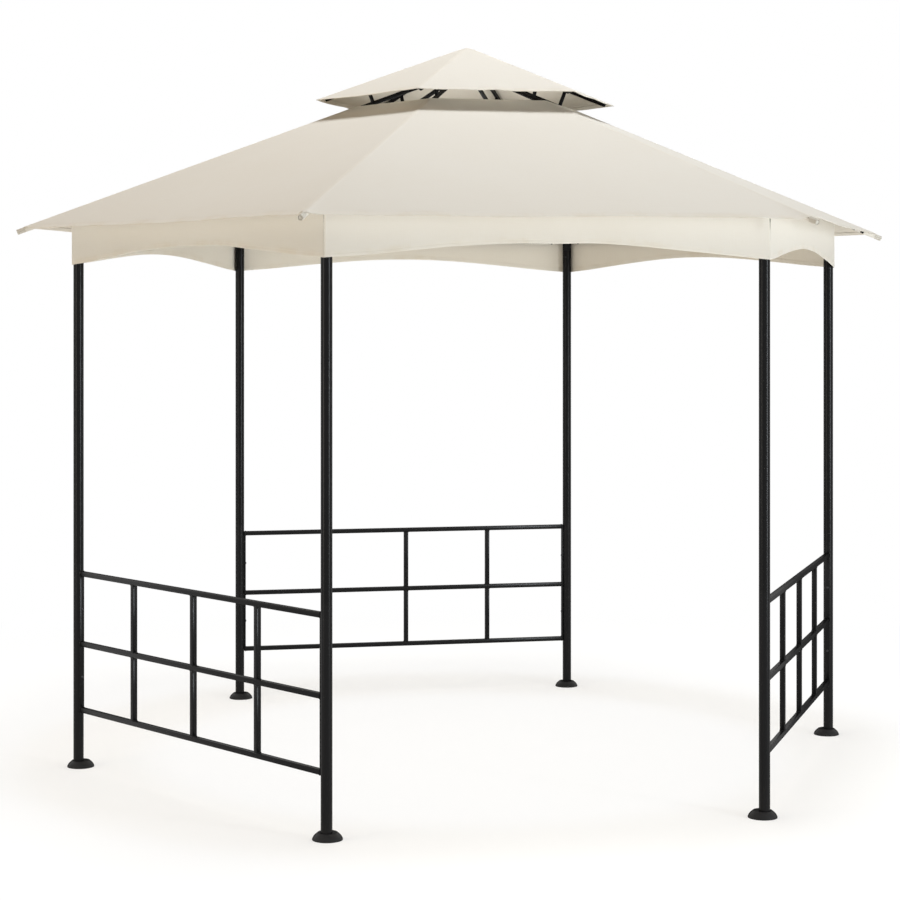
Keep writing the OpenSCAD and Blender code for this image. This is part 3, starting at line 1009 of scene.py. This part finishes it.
# Radius and height of the plugs' noses
RAFTER_NOSE, CAP_NOSE = (0.0061, 0.0086), (0.0066, 0.0012)


class GAZEBO_OT_fittings(bpy.types.Operator):
    """Adds the screws, spring buttons and tube plugs of the frame"""
    bl_idname = "gazebo.fittings"
    bl_label = "Fittings"

    def execute(self, context):
        steel, cloth = sizes(context)
        out, half = steel.post_circle * COS_HALF, steel.post_circle / 2
        strip_face = half - steel.post_width / 2 - STRIP_GAP - steel.strip
        rails = [steel.bottom_rail, steel.middle_rail, steel.top_rail]
        screws = [
            side_turn(k) @ pointing((out, way * strip_face, (low + high) / 2), (0, -way, 0))
            for k in RAILED for way in (-1, 1) for low, high in zip(rails, rails[1:])
        ]
        screws += at_corners((HUB_SCREWS, 0, steel.hub_floor), (0, 0, -1))
        whole = joined(copies(button_screw(*SCREW), screws), "frame_screws")
        dress(whole, blackened_zinc)

        post_in = steel.post_circle - steel.post_width / 2
        buttons = at_corners((post_in, 0, steel.post_top - POST_BUTTON), (-1, 0, 0))
        along, under = half - steel.beam_start - BEAM_BUTTON, steel.beam_height - steel.beam_width / 2
        buttons += [
            side_turn(k) @ pointing((out, way * along, under), (0, 0, -1)) for k in range(6) for way in (-1, 1)
        ]
        whole = joined(copies(spring_button(*BUTTON), buttons), "spring_buttons")
        dress(whole, blackened_zinc)

        radius = steel.rafter_width / 2
        end = cloth.eave + (cloth.sleeve_reach - PLUG_BACK) * cos(cloth.pitch)
        rise = rafter_height(steel, cloth, end)
        cap_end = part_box("cap_rafter_right")[1].x - radius * sin(cloth.cap_pitch)
        cap_rise = cloth.cap_peak - cap_end * tan(cloth.cap_pitch) - cloth.cap_rafter_depth
        for name, place, pitch, nose, look in (
            ("rafter_plugs", (end, 0, rise), cloth.pitch, RAFTER_NOSE, plug_moulding),
            ("cap_rafter_plugs", (cap_end, 0, cap_rise), cloth.cap_pitch, CAP_NOSE, black_moulding),
        ):
            plug = tube_plug(radius - FLANGE_INSET, radius - STUB_INSET, *nose)
            way = (cos(pitch), 0, -sin(pitch))
            whole = joined(copies(plug, at_corners(place, way)), name)
            dress(whole, look)
        return {"FINISHED"}


class GAZEBO_OT_finishes(bpy.types.Operator):
    """Gives the frame's tubes and mouldings their finishes"""
    bl_idname = "gazebo.finishes"
    bl_label = "Frame finishes"

    def execute(self, context):
        for name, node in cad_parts.items():
            for stems, look in ((STEEL, black_powder_coat), (MOULDED, black_moulding)):
                if name.startswith(stems):
                    for slot in node.material_slots:
                        slot.material = finish(look)
        return {"FINISHED"}


# Name, place, aim, width, height, power and tint of each lamp
LAMPS = [
    ("top_softbox", (0.6, -0.6, 7.5), (0, 0, 2.0), 2.0, 2.0, 236, (0.965, 0.985, 1.0)),
    ("floor_wash", (0, -0.6, 0.75), (0, -0.6, 0), 10.0, 9.0, 180, (1.0, 0.985, 0.955)),
    ("right_softbox", (5.2, -6.6, 1.3), (0, 0, 1.3), 0.62, 2.6, 260, (0.885, 0.95, 1.0)),
    ("left_strip", (-7.4, -3.4, 1.3), (0, 0, 1.3), 0.40, 2.6, 90, (1.0, 0.94, 0.83)),
    ("left_fill", (-6.0, -1.5, 5.5), (-0.7, -0.2, 2.2), 2.0, 2.0, 40, (1.0, 0.72, 0.48)),
]
WHITE, FLOOR_SEEN, SKY_TINT, SKY_LIGHT = (1, 1, 1, 1), (0.97, 0.985, 1.0, 1), (1.0, 0.80, 0.55, 1), 0.15
FLOOR_SIZE = 160
# The floor's own white under the roof, where it grows full, and its dimming at the feet
FLOOR_GLOW, GLOW_REACH, FEET_REACH, FEET_SHADE = 0.75, (1.9, 4.0), (0.40, 0.10), 0.30
CAMERA_PLACE, CAMERA_TURN = (-1.7204, -7.9128, 1.6698), -11.807


class GAZEBO_OT_stage(bpy.types.Operator):
    """Sets up the pale floor, the soft lamps and the camera"""
    bl_idname = "gazebo.stage"
    bl_label = "Stage"

    def floor(self, scene):
        """A pale floor that fades to white and is clear from beneath"""
        floor = added(bpy.ops.mesh.primitive_plane_add, size=FLOOR_SIZE)
        floor.name = "studio_floor"
        f = Finish("studio_floor")
        f.set("Roughness", 0.9)
        f.set("Specular IOR Level", 0)
        shown = f.background_rays()
        from_above = 1 - f.node("NewGeometry", out="Backfacing")
        f.set("Base Color", f.mix(shown, opaque(scene.gazebo_colours.floor), FLOOR_SEEN))
        f.set("Alpha", from_above)
        away = f.node("VectorMath", {"operation": "LENGTH"}, {0: f.place()}, out="Value")
        beside_feet = abs(away - scene.gazebo_frame.post_circle).within(*FEET_REACH)
        glow = FLOOR_GLOW + away.within(*GLOW_REACH) * (1 - FLOOR_GLOW) - beside_feet * FEET_SHADE
        white = f.node("Emission", links={"Color": WHITE, "Strength": 1})
        f.cover(glow * shown * from_above, white)
        floor.data.materials.append(f.material)

    def sky(self, scene):
        """White where it is seen, and a faint warm light on the gazebo"""
        scene.world = bpy.data.worlds.new("studio")
        scene.world.use_nodes = True
        w = Nodes(scene.world.node_tree)
        shown, sky = w.background_rays(), w.found("BACKGROUND")
        w.feed(sky.inputs["Color"], w.mix(shown, SKY_TINT, WHITE))
        w.feed(sky.inputs["Strength"], SKY_LIGHT + shown * (1 - SKY_LIGHT))

    def lamp(self, name, place, aim, width, height, power, tint):
        lamp = added(bpy.ops.object.light_add, type="AREA", location=place)
        lamp.name = name
        lamp.rotation_euler = (Vector(aim) - Vector(place)).to_track_quat("-Z", "Y").to_euler()
        lamp.data.shape, lamp.data.size, lamp.data.size_y = "RECTANGLE", width, height
        lamp.data.energy, lamp.data.color = power, tint
        lamp.visible_camera = False

    def camera(self, scene):
        """A level camera at the photo's place"""
        turn = (radians(90), 0, radians(CAMERA_TURN))
        scene.camera = added(bpy.ops.object.camera_add, location=CAMERA_PLACE, rotation=turn)
        view = scene.camera.data
        view.lens, view.sensor_width, view.shift_y, view.clip_end = 85.57, 36, -0.15725, 400

    def execute(self, context):
        scene = context.scene
        self.floor(scene)
        self.sky(scene)
        for values in LAMPS:
            self.lamp(*values)
        scene.view_settings.view_transform = "Standard"
        self.camera(scene)
        return {"FINISHED"}


class GAZEBO_PT_panel(bpy.types.Panel):
    """Lists the steps that dress the gazebo"""
    bl_label = "Garden gazebo"
    bl_idname = "GAZEBO_PT_panel"
    bl_space_type = "VIEW_3D"
    bl_region_type = "UI"
    bl_category = "Gazebo"

    def draw(self, context):
        for step in STEPS:
            self.layout.operator(step.bl_idname)
        for place, group in GROUPS.items():
            box = self.layout.box()
            for name in group.__annotations__:
                box.prop(getattr(context.scene, place), name)


STEPS = [
    GAZEBO_OT_stage, GAZEBO_OT_finishes, GAZEBO_OT_railings, GAZEBO_OT_fittings,
    GAZEBO_OT_main_canopy, GAZEBO_OT_sleeves, GAZEBO_OT_upper_canopy, GAZEBO_OT_valance,
]
GROUPS = {"gazebo_frame": GazeboFrame, "gazebo_cloth": GazeboCloth, "gazebo_colours": GazeboColours}


def register():
    for name, group in GROUPS.items():
        bpy.utils.register_class(group)
        setattr(bpy.types.Scene, name, bpy.props.PointerProperty(type=group))
    for step in [*STEPS, GAZEBO_PT_panel]:
        bpy.utils.register_class(step)


def unregister():
    for step in reversed([*STEPS, GAZEBO_PT_panel]):
        bpy.utils.unregister_class(step)
    for name, group in GROUPS.items():
        delattr(bpy.types.Scene, name)
        bpy.utils.unregister_class(group)


def main():
    register()
    for step in STEPS:
        group, name = step.bl_idname.split(".")
        getattr(getattr(bpy.ops, group), name)()


if __name__ == "__main__":
    main()
